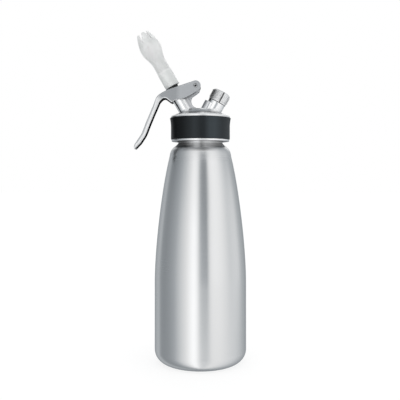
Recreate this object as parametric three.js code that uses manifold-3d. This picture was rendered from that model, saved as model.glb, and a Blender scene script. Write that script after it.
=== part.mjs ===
// Whipped cream dispenser: a steel bottle with a screw-on head, in millimetres, +Z up.
// The origin is the centre of the bottle's flat foot, and the bottle's axis is Z.
// The lever hangs on the -X side, the charger inlet leans to +X.

import * as THREE from 'three';
import { mergeVertices } from 'three/addons/utils/BufferGeometryUtils.js';
import Module from 'manifold-3d';

const wasm = await Module();
wasm.setup();

const { degToRad } = THREE.MathUtils;

// Bottle: straight barrel, long taper, round shoulder, threaded neck
const bottleR = 48.5;
const bottleWall = 1.2;
const footCornerR = 14;
const barrelTopZ = 83.8;
const taperStartPull = 35.6;
const shoulderR = 32.8;
const shoulderZ = 217;
const taperEndPull = 35.2;
const taperEndLean = 8.6;
const shoulderRise = 9.8;
const shoulderLean = 1.5;
const neckR = 23.6;
const neckStartZ = 231;
const neckInset = 5;
const neckDrop = 6.9;
const rimZ = 251.5;

// Screw thread between the bottle and the head
const headThreadPitch = 3.5;
const headThreadTurns = 3;
const headThreadStartZ = 238.5;
const headThreadDepth = 1.2;
const headThreadRootHalf = 0.8;
const headThreadCrestHalf = 0.45;
const headThreadClearance = 0.5;

// Head casting: skirt, dome and raised centre
const skirtBottomZ = 233.1;
const skirtWall = 3.6;
const lowerLipHeight = 2.3;
const lowerLipOut = 1.7;
const upperRimZ = 257.9;
const upperRimHeight = 1.2;
const upperRimOut = 2.6;
const domeMidOut = 4.8;
const domeMidZ = 261.4;
const plateauWall = 0.9;
const plateauFootZ = 262.8;
const plateauZ = 267.3;
const plateauEdge = 0.8;
const plateauTopInset = 3.9;
const ceilingZ = 261.8;
const cavityInset = 0.4;

// Silicone grip band and head gasket
const gripThickness = 2.1;
const gripFlare = 1;
const gripFlareHeight = 9;
const gripFlareStep = 4;
const gripEdge = 0.5;
const gasketThickness = 2.2;
const gasketInset = 2.2;
const gasketOuterGap = 0.4;

// Spout: its axis leans over to -X, and lengths along it start at the nozzle's seat
const spoutTilt = 30;
const spoutSeatX = -29.5;
const spoutSeatZ = 291.9;
const spoutR = 8;
const spoutTopDrop = 12.4;
const springBoreR = 6;
const springBoreDepth = 17.8;
const valveBoreR = 4.7;
const valveSeatDrop = 38.5;

// Lever: a pressed channel that straddles the spout and turns on a pin through the horn
const pivotX = -5.2;
const pivotZ = 291.6;
const leverWidth = 20;
const leverWall = 1.5;
const leverEndR = 5.5;
const leverReach = 64.7;
const leverSlope = 19;
const leverUnderSlope = 31;
const handleDepth = 4.8;
const handleStartShare = 0.68;
const handleEndShare = 0.9;
const webEndGap = 8;
const leverHoleR = 6.35;
const leverHoleShift = 0.4;
const pinR = 1.9;
const pinRecess = 0.4;
const hornThickness = 9;
const hornBossR = 5;
const hornBossGap = 0.5;
const hornRootDepth = 2.5;
const hornTopRise = 3.5;
const leverBackShares = [
  [-0.453, -0.061], [-0.56, -0.121], [-0.632, -0.182], [-0.679, -0.293], [-0.745, -0.444],
  [-0.813, -0.609], [-0.876, -0.768], [-0.923, -0.842], [-0.955, -0.893], [-0.988, -0.943],
  [-0.999, -0.989], [-0.996, -1.019], [-0.986, -1.031],
];
const cheekUnderShares = [
  [-0.585, -0.263], [-0.533, -0.21], [-0.486, -0.204], [-0.441, -0.235], [-0.384, -0.27],
  [-0.34, -0.243], [-0.284, -0.227], [-0.19, -0.205], [-0.138, -0.184], [-0.054, -0.139],
];
const hornNoseShares = [[0.202, -0.123], [0.169, -0.239], [0.004, -0.366]];
const hornBiteCentreShares = [0.152, -0.634];
const hornBiteRadiusShare = 0.337;
const hornBiteStart = 149;
const hornBiteEnd = 232;
const hornToeShares = [[0.111, -0.963], [0.255, -1]];

// Valve train inside the spout
const clearance = 0.3;
const stemR = 3.5;
const stemBoreR = 1.9;
const stemBoreEndDrop = 37.5;
const stemPortDrop = 35.6;
const stemPortR = 1.1;
const springFlangeR = 5.5;
const springFlangeThickness = 1.5;
const springFlangeDrop = 18.8;
const guideR = 5.7;
const guideFlangeR = 7.4;
const guideFlangeThickness = 1.2;
const guideLength = 5.9;
const springWireR = 0.45;
const springTurns = 6;
const sealThickness = 2.5;
const sealR = 6.2;
const sealNutR = 5.6;
const sealNutHeight = 3;
const oRingGrooveR = 2.8;
const oRingGrooveTopDrop = 31;
const oRingGrooveWidth = 2;
const oRingWireR = 0.65;

// Adapter on the stem's top: press collar under the lever, spigot for the nozzle above it
const collarR = 7.4;
const collarTopDrop = 6;
const collarThickness = 1.8;
const adapterNeckR = 5.2;
const adapterShoulderDrop = 2.3;
const adapterCrownWall = 1.3;
const adapterSpigotR = 4;
const adapterSpigotRise = 9.5;
const adapterBoreR = 2.2;
const nozzleThreadPitch = 1.5;
const nozzleThreadTurns = 3;
const nozzleThreadDepth = 0.5;
const nozzleThreadStart = 2;
const nozzleThreadRootHalf = 0.5;
const nozzleThreadCrestHalf = 0.2;

// Seal ring and six-pronged nozzle
const nozzleRingR = 5.6;
const nozzleRingTopDrop = 0.3;
const nozzleRingThickness = 1.7;
const nozzleLength = 64.5;
const nozzleBellyR = 11.2;
const nozzleWall = 1.4;
const nozzleSocketDepth = 18;
const nozzleProngs = 6;
const slotTurn = 35;
const slotDepth = 10.6;
const slotRootHalf = 0.7;
const slotMidHalf = 1.6;
const slotMidDrop = 2;
const slotMouthHalf = 2.3;
const nozzleProfileShares = [
  [0, 0.714], [0.23, 0.714], [0.3, 0.678], [0.38, 0.661], [0.45, 0.667], [0.51, 0.728], [0.57, 0.82],
  [0.63, 0.938], [0.69, 0.995], [0.74, 1], [0.79, 0.965], [0.84, 0.91], [0.89, 0.83], [0.94, 0.74],
  [1, 0.61],
];

// Charger inlet: its axis leans over to +X, and lengths along it start at the thread's middle
const inletTilt = 28;
const inletMidX = 20.6;
const inletMidZ = 280.6;
const inletNeckR = 9.2;
const inletThreadR = 10.3;
const inletThreadTop = 5.8;
const inletThreadBottom = 6.5;
const inletThreadPitch = 1.5;
const inletThreadDepth = 0.8;
const inletThreadTurns = 6;
const inletThreadRootHalf = 0.6;
const inletThreadCrestHalf = 0.15;
const inletChamfer = 1.2;
const inletBoreR = 4.8;
const inletBoreDepth = 8.4;
const inletSpigotR = 6.5;
const inletSpigotLength = 7.2;
const inletSpigotBoreR = 5;
const inletWebThickness = 1.6;
const inletGasOutR = 4.6;
const lugR = 5.3;
const lugSide = 6.8;
const lugFront = 4.2;
const lugTopDrop = 10.2;
const chargerGasketThickness = 1.6;
const chargerGasketHoleR = 2;
const piercingPinR = 1.2;
const piercingPinBoreR = 0.5;
const piercingPinReach = 3.4;
const piercingTipLength = 2;
const piercingFlangeThickness = 1.2;
const filterThickness = 1;
const retainerThickness = 2.2;
const nippleR = 2.2;
const nippleBoreR = 0.9;
const nippleLength = 4.6;
const sleeveWall = 1.1;
const sleeveLength = 4;

// Shared making values
const overrun = 2;
const threadEmbed = 0.3;
const threadFadeShare = 0.15;
const threadFadeTurns = 0.25;
const mergeDistance = 0.0005;
const bodySides = 40;
const boreSides = 24;
const smallSides = 20;
const threadSides = 24;
const fineThreadSides = 12;
const nozzleSides = 24;
const wireSides = 5;
const arcSteps = 8;
const footSteps = 4;
const taperSteps = 7;
const shoulderSteps = 6;
const springStepsPerTurn = 8;

const skirtBoreR = neckR + headThreadDepth + headThreadClearance;
const skirtR = skirtBoreR + skirtWall;
const gasketTopZ = rimZ + gasketThickness;
const gasketInner = neckR - gasketInset;
const gasketOuter = skirtBoreR - gasketOuterGap;
const cavityR = gasketInner - cavityInset;
const plateauR = cavityR + plateauWall;
const plateauTopR = plateauR - plateauTopInset;
const leverInnerWidth = leverWidth - 2 * leverWall;
const springFloor = -spoutTopDrop - springBoreDepth;

// Materials, with their colours and finish
const finish = (color, roughness, metalness) => (
  new THREE.MeshStandardMaterial({ color, roughness, metalness })
);
const brushedSteel = finish(0xb9bbbd, 0.34, 1);
const castSteel = finish(0xc3c5c7, 0.25, 1);
const leverSteel = finish(0xa4a8ab, 0.3, 1);
const turnedSteel = finish(0xb0b2b4, 0.22, 1);
const brass = finish(0xb9985a, 0.35, 1);
const blackSilicone = finish(0x232629, 0.6, 0);
const sealRubber = finish(0x17181a, 0.7, 0);
const clearPlastic = finish(0xdfe4e3, 0.25, 0);

// Closed mesh with shared vertices, without the normals and the slivers at the axis
function closedMesh(geometry) {
  const bare = geometry.clone();
  bare.deleteAttribute('normal');
  bare.deleteAttribute('uv');
  const merged = mergeVertices(bare, mergeDistance);
  const source = merged.index.array;
  const kept = [];
  for (let i = 0; i < source.length; i += 3) {
    const [a, b, c] = [source[i], source[i + 1], source[i + 2]];
    if (a !== b && b !== c && c !== a) kept.push(a, b, c);
  }
  merged.setIndex(kept);
  return merged;
}

function toSolid(geometry) {
  const closed = closedMesh(geometry);
  const vertProperties = new Float32Array(closed.attributes.position.array);
  const triVerts = new Uint32Array(closed.index.array);
  return new wasm.Manifold(new wasm.Mesh({ numProp: 3, vertProperties, triVerts }));
}

function toGeometry(solid) {
  const mesh = solid.getMesh();
  const geometry = new THREE.BufferGeometry();
  geometry.setAttribute('position', new THREE.BufferAttribute(mesh.vertProperties, 3));
  geometry.setIndex(new THREE.BufferAttribute(mesh.triVerts, 1));
  return geometry;
}

const joined = (first, ...others) => (
  others.reduce((sum, geometry) => sum.add(toSolid(geometry)), first)
);
const cut = (first, ...others) => (
  others.reduce((rest, geometry) => rest.subtract(toSolid(geometry)), first)
);

// Turned solid from a profile of [radius, height] that runs out, up and back in
function turned(profile, sides) {
  const points = profile.map(([radius, height]) => new THREE.Vector2(radius, height));
  const geometry = new THREE.LatheGeometry(points, sides);
  geometry.rotateX(Math.PI / 2);
  return closedMesh(geometry);
}

const cylinder = (radius, low, high, sides) => (
  turned([[0, low], [radius, low], [radius, high], [0, high]], sides)
);
const ring = (inner, outer, low, high, sides) => (
  turned([[inner, low], [outer, low], [outer, high], [inner, high], [inner, low]], sides)
);

// Plate from an outline of [x, z] points, centred on Y = 0
function plate(outline, width) {
  const shape = new THREE.Shape(outline.map(([x, z]) => new THREE.Vector2(x, z)));
  const geometry = new THREE.ExtrudeGeometry(shape, { depth: width, bevelEnabled: false });
  geometry.rotateX(Math.PI / 2);
  geometry.translate(0, width / 2, 0);
  return geometry;
}

// Round bar along Y at an [x, z] place
function crossBar(radius, width, [x, z], sides) {
  const geometry = cylinder(radius, -width / 2, width / 2, sides);
  geometry.rotateX(Math.PI / 2);
  geometry.translate(x, 0, z);
  return geometry;
}

function arc([centreX, centreY], radius, from, to, steps) {
  return Array.from({ length: steps + 1 }, (_, i) => {
    const angle = degToRad(from + ((to - from) * i) / steps);
    return [centreX + radius * Math.cos(angle), centreY + radius * Math.sin(angle)];
  });
}

// Points around a whole circle, without the first one again at the end
function circle(centre, radius, sides) {
  return arc(centre, radius, 0, 360, sides).slice(0, -1);
}

function bezier(start, pullStart, pullEnd, end, steps) {
  const corners = [start, pullStart, pullEnd, end].map(([x, y]) => new THREE.Vector2(x, y));
  return new THREE.CubicBezierCurve(...corners).getPoints(steps).map(({ x, y }) => [x, y]);
}

// Line moved sideways by a distance, to the left of its direction
function offsetLine(line, distance) {
  return line.map(([x, y], i) => {
    const before = line[Math.max(i - 1, 0)];
    const after = line[Math.min(i + 1, line.length - 1)];
    const back = new THREE.Vector2(x - before[0], y - before[1]).normalize();
    const ahead = new THREE.Vector2(after[0] - x, after[1] - y).normalize();
    const along = back.clone().add(ahead).normalize();
    const widening = Math.max(along.dot(i === 0 ? ahead : back), Math.SQRT1_2);
    return [x - (along.y * distance) / widening, y + (along.x * distance) / widening];
  });
}

// Helical ridge that stands on a cylinder, outwards or inwards, and fades in and out.
// Its section has four corners, so each step adds four points.
function threadRidge({ rootR, crestR, rootHalf, crestHalf, pitch, turns, start, sides }) {
  const steps = Math.round(turns * sides);
  const positions = [];
  const index = [];
  for (let i = 0; i <= steps; i += 1) {
    const angle = (2 * Math.PI * i) / sides;
    const height = start + (pitch * i) / sides;
    const turnsFromEnd = Math.min(i, steps - i) / sides;
    const fade = Math.min(1, threadFadeShare + turnsFromEnd / threadFadeTurns);
    const crest = rootR + (crestR - rootR) * fade;
    const section = [
      [rootR, height - rootHalf], [crest, height - crestHalf],
      [crest, height + crestHalf], [rootR, height + rootHalf],
    ];
    for (const [radius, z] of section) {
      positions.push(radius * Math.cos(angle), radius * Math.sin(angle), z);
    }
  }
  const quad = (a, b, c, d) => index.push(a, b, c, a, c, d);
  for (let i = 0; i < steps; i += 1) {
    for (let k = 0; k < 4; k += 1) {
      const next = (k + 1) % 4;
      quad(4 * i + k, 4 * i + 4 + k, 4 * i + 4 + next, 4 * i + next);
    }
  }
  const last = 4 * steps;
  quad(0, 1, 2, 3);
  quad(last + 3, last + 2, last + 1, last);
  if (crestR < rootR) index.reverse();
  const geometry = new THREE.BufferGeometry();
  geometry.setAttribute('position', new THREE.Float32BufferAttribute(positions, 3));
  geometry.setIndex(index);
  return geometry;
}

// Frames of the two leaning axes
function leaningFrame(x, z, tilt) {
  const frame = new THREE.Group();
  frame.position.set(x, 0, z);
  frame.rotation.y = degToRad(tilt);
  frame.updateMatrix();
  return frame;
}

const spoutFrame = leaningFrame(spoutSeatX, spoutSeatZ, -spoutTilt);
const inletFrame = leaningFrame(inletMidX, inletMidZ, inletTilt);
const inFrame = (geometry, frame) => geometry.clone().applyMatrix4(frame.matrix);

function spoutPoint(side, along) {
  const tilt = degToRad(spoutTilt);
  return [
    spoutSeatX + side * Math.cos(tilt) - along * Math.sin(tilt),
    spoutSeatZ + side * Math.sin(tilt) + along * Math.cos(tilt),
  ];
}

// Bottle, whose lining follows every other point of its outside
function bottleProfile() {
  const foot = arc([bottleR - footCornerR, footCornerR], footCornerR, -90, 0, footSteps);
  const taper = bezier(
    [bottleR, barrelTopZ],
    [bottleR, barrelTopZ + taperStartPull],
    [shoulderR + taperEndLean, shoulderZ - taperEndPull],
    [shoulderR, shoulderZ],
    taperSteps,
  );
  const shoulder = bezier(
    [shoulderR, shoulderZ],
    [shoulderR - shoulderLean, shoulderZ + shoulderRise],
    [neckR + neckInset, neckStartZ - neckDrop],
    [neckR, neckStartZ],
    shoulderSteps,
  );
  const outer = [[0, 0], ...foot, ...taper, ...shoulder.slice(1), [neckR, rimZ]];
  const lining = outer.filter((point, i) => i % 2 === 1 || i === 0 || i === outer.length - 1);
  return [...outer, ...offsetLine(lining, bottleWall).reverse()];
}

function makeBottle() {
  const ridge = threadRidge({
    rootR: neckR - threadEmbed,
    crestR: neckR + headThreadDepth,
    rootHalf: headThreadRootHalf,
    crestHalf: headThreadCrestHalf,
    pitch: headThreadPitch,
    turns: headThreadTurns,
    start: headThreadStartZ,
    sides: threadSides,
  });
  return toGeometry(joined(toSolid(turned(bottleProfile(), bodySides)), ridge));
}

// Head casting
function headShell() {
  const lipR = skirtR + lowerLipOut;
  const rimR = skirtR + upperRimOut;
  const profile = [
    [skirtBoreR, skirtBottomZ],
    [lipR, skirtBottomZ],
    [lipR, skirtBottomZ + lowerLipHeight],
    [skirtR, skirtBottomZ + lowerLipHeight],
    [skirtR, upperRimZ],
    [rimR, upperRimZ],
    [rimR, upperRimZ + upperRimHeight],
    [plateauR + domeMidOut, domeMidZ],
    [plateauR, plateauFootZ],
    [plateauTopR + plateauEdge / 2, plateauZ - plateauEdge],
    [plateauTopR - plateauEdge, plateauZ],
    [0, plateauZ],
    [0, ceilingZ],
    [cavityR, ceilingZ],
    [cavityR, gasketTopZ],
    [skirtBoreR, gasketTopZ],
    [skirtBoreR, skirtBottomZ],
  ];
  return turned(profile, bodySides);
}

function hornPlate() {
  const height = pivotZ - plateauZ;
  const place = ([x, z]) => [pivotX + x * height, pivotZ + z * height];
  const bite = arc(hornBiteCentreShares, hornBiteRadiusShare, hornBiteStart, hornBiteEnd, arcSteps);
  const tilt = degToRad(spoutTilt);
  const toe = hornToeShares.map(place);
  const outline = [
    ...hornNoseShares.map(place),
    ...bite.map(place),
    ...toe,
    [toe[toe.length - 1][0], plateauZ - hornRootDepth],
    spoutPoint(0, -valveSeatDrop + spoutR),
    spoutPoint(0, -spoutTopDrop),
    spoutPoint(spoutR, -spoutTopDrop),
    [pivotX - hornTopRise * Math.sin(tilt), pivotZ + hornTopRise * Math.cos(tilt)],
    [pivotX, pivotZ],
  ];
  return plate(outline, hornThickness);
}

function makeHead() {
  const pivot = [pivotX, pivotZ];
  const neckLength = (inletMidZ - ceilingZ) / Math.cos(degToRad(inletTilt)) + inletNeckR;
  const neck = cylinder(inletNeckR, -neckLength, -inletThreadBottom, boreSides);
  const lug = cylinder(lugR, -neckLength, -lugTopDrop, smallSides);
  lug.translate(-lugSide, -lugFront, 0);
  const cavity = cylinder(cavityR, ceilingZ - 2 * inletNeckR, ceilingZ, bodySides);
  const attached = joined(
    toSolid(hornPlate()),
    crossBar(hornBossR, leverInnerWidth - 2 * hornBossGap, pivot, smallSides),
    inFrame(neck, inletFrame),
    inFrame(lug, inletFrame),
  ).subtract(toSolid(cavity));
  const spout = cylinder(spoutR, -valveSeatDrop, -spoutTopDrop, boreSides);
  const ridge = threadRidge({
    rootR: skirtBoreR + threadEmbed,
    crestR: neckR + headThreadClearance,
    rootHalf: headThreadRootHalf,
    crestHalf: headThreadCrestHalf,
    pitch: headThreadPitch,
    turns: headThreadTurns,
    start: headThreadStartZ - headThreadPitch / 2,
    sides: threadSides,
  });
  const body = joined(toSolid(headShell()).add(attached), inFrame(spout, spoutFrame), ridge);
  const springBore = cylinder(springBoreR, springFloor, -spoutTopDrop + overrun, boreSides);
  const valveBore = cylinder(valveBoreR, -valveSeatDrop - overrun, springFloor + overrun, boreSides);
  const socketBottom = -inletThreadBottom - inletSpigotLength - clearance;
  const studSocket = cylinder(inletSpigotR + clearance, socketBottom, overrun - inletThreadBottom, boreSides);
  const gasOut = cylinder(inletGasOutR, -neckLength - overrun, socketBottom + overrun, smallSides);
  const pinHole = crossBar(pinR + clearance, leverWidth, pivot, smallSides);
  return toGeometry(cut(
    body,
    inFrame(springBore, spoutFrame),
    inFrame(valveBore, spoutFrame),
    inFrame(studSocket, inletFrame),
    inFrame(gasOut, inletFrame),
    pinHole,
  ));
}

function makeGrip() {
  const inner = skirtR + clearance;
  const outer = inner + gripThickness;
  const low = skirtBottomZ + lowerLipHeight;
  return turned([
    [inner, low],
    [outer - gripEdge, low],
    [outer, low + gripEdge],
    [outer, upperRimZ - gripFlareHeight],
    [outer + gripFlare / 2, upperRimZ - gripFlareStep],
    [outer + gripFlare, upperRimZ - gripEdge],
    [outer + gripFlare - gripEdge, upperRimZ],
    [inner, upperRimZ],
    [inner, low],
  ], bodySides);
}

// Lever
function leverBack() {
  const slope = degToRad(leverSlope);
  const top = [pivotX - leverEndR * Math.sin(slope), pivotZ + leverEndR * Math.cos(slope)];
  const knots = leverBackShares.map(([x, z]) => (
    new THREE.Vector2(pivotX + x * leverReach, pivotZ + z * leverReach)
  ));
  const curve = new THREE.SplineCurve(knots).getPoints(2 * (knots.length - 1));
  return [top, ...curve.map(({ x, y }) => [x, y])];
}

function makeLever() {
  const back = leverBack();
  const handle = back.filter(([x, z]) => (
    x < pivotX - handleStartShare * leverReach && z > pivotZ - handleEndShare * leverReach
  ));
  const under = cheekUnderShares.map(([x, z]) => [pivotX + x * leverReach, pivotZ + z * leverReach]);
  const end = arc([pivotX, pivotZ], leverEndR, leverUnderSlope - 90, leverSlope + 90, arcSteps);
  const outline = [...back, ...offsetLine(handle, handleDepth).reverse(), ...under, ...end.slice(0, -1)];
  const inside = offsetLine(back, leverWall);
  const slope = degToRad(leverSlope);
  const webLevel = leverEndR - leverWall;
  const webFoot = [
    pivotX - webEndGap * Math.cos(slope) - webLevel * Math.sin(slope),
    pivotZ - webEndGap * Math.sin(slope) + webLevel * Math.cos(slope),
  ];
  const high = pivotZ + leverEndR + overrun;
  const webTop = [webFoot[0] - (high - webFoot[1]) * Math.tan(slope), high];
  const tip = inside[inside.length - 1];
  const pocket = [
    webTop,
    webFoot,
    ...inside.slice(1),
    [tip[0], tip[1] - handleDepth],
    [pivotX + leverReach, tip[1] - handleDepth],
    [pivotX + leverReach, high],
  ];
  const hole = cylinder(leverHoleR, -spoutTopDrop, overrun, boreSides);
  hole.translate(leverHoleShift, 0, 0);
  return toGeometry(cut(
    toSolid(plate(outline, leverWidth)),
    plate(pocket, leverInnerWidth),
    inFrame(hole, spoutFrame),
    crossBar(pinR + clearance, leverWidth + overrun, [pivotX, pivotZ], smallSides),
  ));
}

function makeLeverPin() {
  return crossBar(pinR, leverWidth - 2 * pinRecess, [pivotX, pivotZ], smallSides);
}

// Valve train, along the spout's axis
const guideFlangeLow = clearance - spoutTopDrop;
const springFlangeLow = -springFlangeDrop - springFlangeThickness;
const sealTop = -valveSeatDrop - clearance;
const nutTop = sealTop - sealThickness - clearance;
const stemFoot = nutTop - sealNutHeight;
const stemTop = -adapterShoulderDrop - adapterCrownWall;

function makeValveGuide() {
  const bore = stemR + clearance;
  const high = guideFlangeLow + guideFlangeThickness;
  return turned([
    [bore, guideFlangeLow - guideLength],
    [guideR, guideFlangeLow - guideLength],
    [guideR, guideFlangeLow],
    [guideFlangeR, guideFlangeLow],
    [guideFlangeR, high],
    [bore, high],
    [bore, guideFlangeLow - guideLength],
  ], smallSides);
}

function makeValveStem() {
  const grooveBottom = -oRingGrooveTopDrop - oRingGrooveWidth;
  const shaft = turned([
    [0, stemFoot],
    [stemR, stemFoot],
    [stemR, grooveBottom],
    [oRingGrooveR, grooveBottom],
    [oRingGrooveR, -oRingGrooveTopDrop],
    [stemR, -oRingGrooveTopDrop],
    [stemR, springFlangeLow],
    [springFlangeR, springFlangeLow],
    [springFlangeR, -springFlangeDrop],
    [stemR, -springFlangeDrop],
    [stemR, stemTop],
    [stemBoreR, stemTop],
    [stemBoreR, -stemBoreEndDrop],
    [0, -stemBoreEndDrop],
  ], smallSides);
  const port = crossBar(stemPortR, 2 * (stemR + overrun), [0, -stemPortDrop], smallSides / 2);
  return toGeometry(cut(toSolid(shaft), port));
}

function makeAdapter() {
  const low = -collarTopDrop - collarThickness;
  const socketTop = stemTop + clearance;
  const socketR = stemR + clearance;
  const body = turned([
    [socketR, low],
    [collarR, low],
    [collarR, -collarTopDrop],
    [adapterNeckR, -collarTopDrop],
    [adapterNeckR, -adapterShoulderDrop],
    [adapterSpigotR, -adapterShoulderDrop],
    [adapterSpigotR, adapterSpigotRise],
    [adapterBoreR, adapterSpigotRise],
    [adapterBoreR, socketTop],
    [socketR, socketTop],
    [socketR, low],
  ], smallSides);
  const ridge = threadRidge({
    rootR: adapterSpigotR - threadEmbed,
    crestR: adapterSpigotR + nozzleThreadDepth,
    rootHalf: nozzleThreadRootHalf,
    crestHalf: nozzleThreadCrestHalf,
    pitch: nozzleThreadPitch,
    turns: nozzleThreadTurns,
    start: nozzleThreadStart,
    sides: fineThreadSides,
  });
  return toGeometry(joined(toSolid(body), ridge));
}

function makeSpring() {
  const low = springFloor + clearance + springWireR;
  const high = springFlangeLow - clearance - springWireR;
  const coilR = (stemR + springBoreR) / 2;
  class Helix extends THREE.Curve {
    getPoint(t, target = new THREE.Vector3()) {
      const angle = 2 * Math.PI * springTurns * t;
      return target.set(coilR * Math.cos(angle), coilR * Math.sin(angle), low + (high - low) * t);
    }
  }
  const wire = circle([0, 0], springWireR, wireSides).map(([x, y]) => new THREE.Vector2(x, y));
  const section = new THREE.Shape(wire);
  const steps = springStepsPerTurn * springTurns;
  return new THREE.ExtrudeGeometry(section, { steps, extrudePath: new Helix(), bevelEnabled: false });
}

function makeStemORing() {
  const centreR = oRingGrooveR + clearance + oRingWireR;
  const centre = [centreR, -oRingGrooveTopDrop - oRingGrooveWidth / 2];
  const wire = circle(centre, oRingWireR, wireSides);
  return turned([...wire, wire[0]], smallSides);
}

function makeSealNut() {
  const hexagon = cylinder(sealNutR, stemFoot, nutTop, 6);
  const bore = cylinder(stemR + clearance, stemFoot - overrun, nutTop + overrun, smallSides);
  return toGeometry(cut(toSolid(hexagon), bore));
}

// Nozzle and its seal ring
const nozzleSocketR = adapterSpigotR + nozzleThreadDepth + clearance;

function makeNozzle() {
  const outer = nozzleProfileShares.map(([along, out]) => [out * nozzleBellyR, along * nozzleLength]);
  const inner = offsetLine(outer, nozzleWall).filter(([, height]) => height > nozzleSocketDepth);
  inner[inner.length - 1][1] = nozzleLength;
  const profile = [
    [nozzleSocketR, 0],
    ...outer,
    ...inner.reverse(),
    [inner[inner.length - 1][0], nozzleSocketDepth],
    [nozzleSocketR, nozzleSocketDepth],
    [nozzleSocketR, 0],
  ];
  const root = nozzleLength - slotDepth;
  const slotOutline = [
    [-slotRootHalf, root],
    [slotRootHalf, root],
    [slotMidHalf, nozzleLength - slotMidDrop],
    [slotMouthHalf, nozzleLength + overrun],
    [-slotMouthHalf, nozzleLength + overrun],
    [-slotMidHalf, nozzleLength - slotMidDrop],
  ];
  const slots = Array.from({ length: nozzleProngs }, (_, i) => {
    const slot = plate(slotOutline, nozzleBellyR + overrun);
    slot.translate(0, (nozzleBellyR + overrun) / 2, 0);
    slot.rotateZ(degToRad(slotTurn) + (2 * Math.PI * i) / nozzleProngs);
    return slot;
  });
  return toGeometry(cut(toSolid(turned(profile, nozzleSides)), ...slots));
}

function makeNozzleRing() {
  const top = -nozzleRingTopDrop;
  return ring(nozzleSocketR, nozzleRingR, top - nozzleRingThickness, top, smallSides);
}

// Charger inlet, along its own axis
const studFoot = clearance - inletThreadBottom;
const inletFloor = inletThreadTop - inletBoreDepth;
const webLow = inletFloor - inletWebThickness;
const pinFlangeTop = webLow - clearance;
const filterTop = pinFlangeTop - piercingFlangeThickness - clearance;
const retainerTop = filterTop - filterThickness - clearance;
const retainerR = inletSpigotBoreR - clearance;

function makeInletStud() {
  const rootR = inletThreadR - inletThreadDepth;
  const body = turned([
    [inletSpigotBoreR, studFoot - inletSpigotLength],
    [inletSpigotR, studFoot - inletSpigotLength],
    [inletSpigotR, studFoot],
    [inletThreadR - inletThreadDepth / 2, studFoot],
    [rootR, studFoot + inletThreadDepth],
    [rootR, inletThreadTop - inletChamfer],
    [rootR - inletChamfer, inletThreadTop],
    [inletBoreR, inletThreadTop],
    [inletBoreR, inletFloor],
    [piercingPinR + clearance, inletFloor],
    [piercingPinR + clearance, webLow],
    [inletSpigotBoreR, webLow],
    [inletSpigotBoreR, studFoot - inletSpigotLength],
  ], boreSides);
  const ridge = threadRidge({
    rootR: rootR - threadEmbed,
    crestR: inletThreadR,
    rootHalf: inletThreadRootHalf,
    crestHalf: inletThreadCrestHalf,
    pitch: inletThreadPitch,
    turns: inletThreadTurns,
    start: studFoot + inletThreadPitch,
    sides: fineThreadSides,
  });
  return toGeometry(joined(toSolid(body), ridge));
}

function makeChargerGasket() {
  const low = inletFloor + clearance;
  return ring(chargerGasketHoleR, inletBoreR - clearance, low, low + chargerGasketThickness, smallSides);
}

function makePiercingPin() {
  const tipTop = inletFloor + chargerGasketThickness + piercingPinReach;
  const flangeLow = pinFlangeTop - piercingFlangeThickness;
  return turned([
    [piercingPinBoreR, flangeLow],
    [retainerR, flangeLow],
    [retainerR, pinFlangeTop],
    [piercingPinR, pinFlangeTop],
    [piercingPinR, tipTop - piercingTipLength],
    [(piercingPinBoreR + piercingPinR) / 2, tipTop],
    [piercingPinBoreR, tipTop - piercingTipLength / 2],
    [piercingPinBoreR, flangeLow],
  ], smallSides);
}

function makeGasFilter() {
  return cylinder(retainerR, filterTop - filterThickness, filterTop, smallSides);
}

function makePinRetainer() {
  const low = retainerTop - retainerThickness;
  return turned([
    [nippleBoreR, low - nippleLength],
    [nippleR, low - nippleLength],
    [nippleR, low],
    [retainerR, low],
    [retainerR, retainerTop],
    [nippleBoreR, retainerTop],
    [nippleBoreR, low - nippleLength],
  ], smallSides);
}

function makeCheckSleeve() {
  const top = retainerTop - retainerThickness - clearance;
  const inner = nippleR + clearance;
  return ring(inner, inner + sleeveWall, top - sleeveLength, top, smallSides);
}

// Assembly
const dispenser = new THREE.Group();
dispenser.add(spoutFrame, inletFrame);

function addPart(parent, name, geometry, material) {
  const mesh = new THREE.Mesh(geometry, material);
  mesh.name = name;
  parent.add(mesh);
}

addPart(dispenser, 'bottle', makeBottle(), brushedSteel);
addPart(dispenser, 'head_gasket', ring(gasketInner, gasketOuter, rimZ, gasketTopZ, bodySides), sealRubber);
addPart(dispenser, 'head_casting', makeHead(), castSteel);
addPart(dispenser, 'grip_sleeve', makeGrip(), blackSilicone);
addPart(dispenser, 'lever', makeLever(), leverSteel);
addPart(dispenser, 'lever_pin', makeLeverPin(), turnedSteel);

addPart(spoutFrame, 'valve_guide', makeValveGuide(), brass);
addPart(spoutFrame, 'valve_stem', makeValveStem(), turnedSteel);
addPart(spoutFrame, 'valve_spring', makeSpring(), turnedSteel);
addPart(spoutFrame, 'stem_o_ring', makeStemORing(), sealRubber);
addPart(
  spoutFrame,
  'valve_seal',
  ring(stemR + clearance, sealR, sealTop - sealThickness, sealTop, smallSides),
  sealRubber,
);
addPart(spoutFrame, 'seal_nut', makeSealNut(), turnedSteel);
addPart(spoutFrame, 'nozzle_adapter', makeAdapter(), turnedSteel);
addPart(spoutFrame, 'nozzle_seal_ring', makeNozzleRing(), sealRubber);
addPart(spoutFrame, 'nozzle', makeNozzle(), clearPlastic);

addPart(inletFrame, 'inlet_stud', makeInletStud(), turnedSteel);
addPart(inletFrame, 'charger_gasket', makeChargerGasket(), sealRubber);
addPart(inletFrame, 'piercing_pin', makePiercingPin(), turnedSteel);
addPart(inletFrame, 'gas_filter', makeGasFilter(), brass);
addPart(inletFrame, 'pin_retainer', makePinRetainer(), brass);
addPart(inletFrame, 'check_valve_sleeve', makeCheckSleeve(), sealRubber);

export default dispenser;
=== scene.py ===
import math

import bmesh
import bpy
from mathutils import Matrix, Vector


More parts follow.
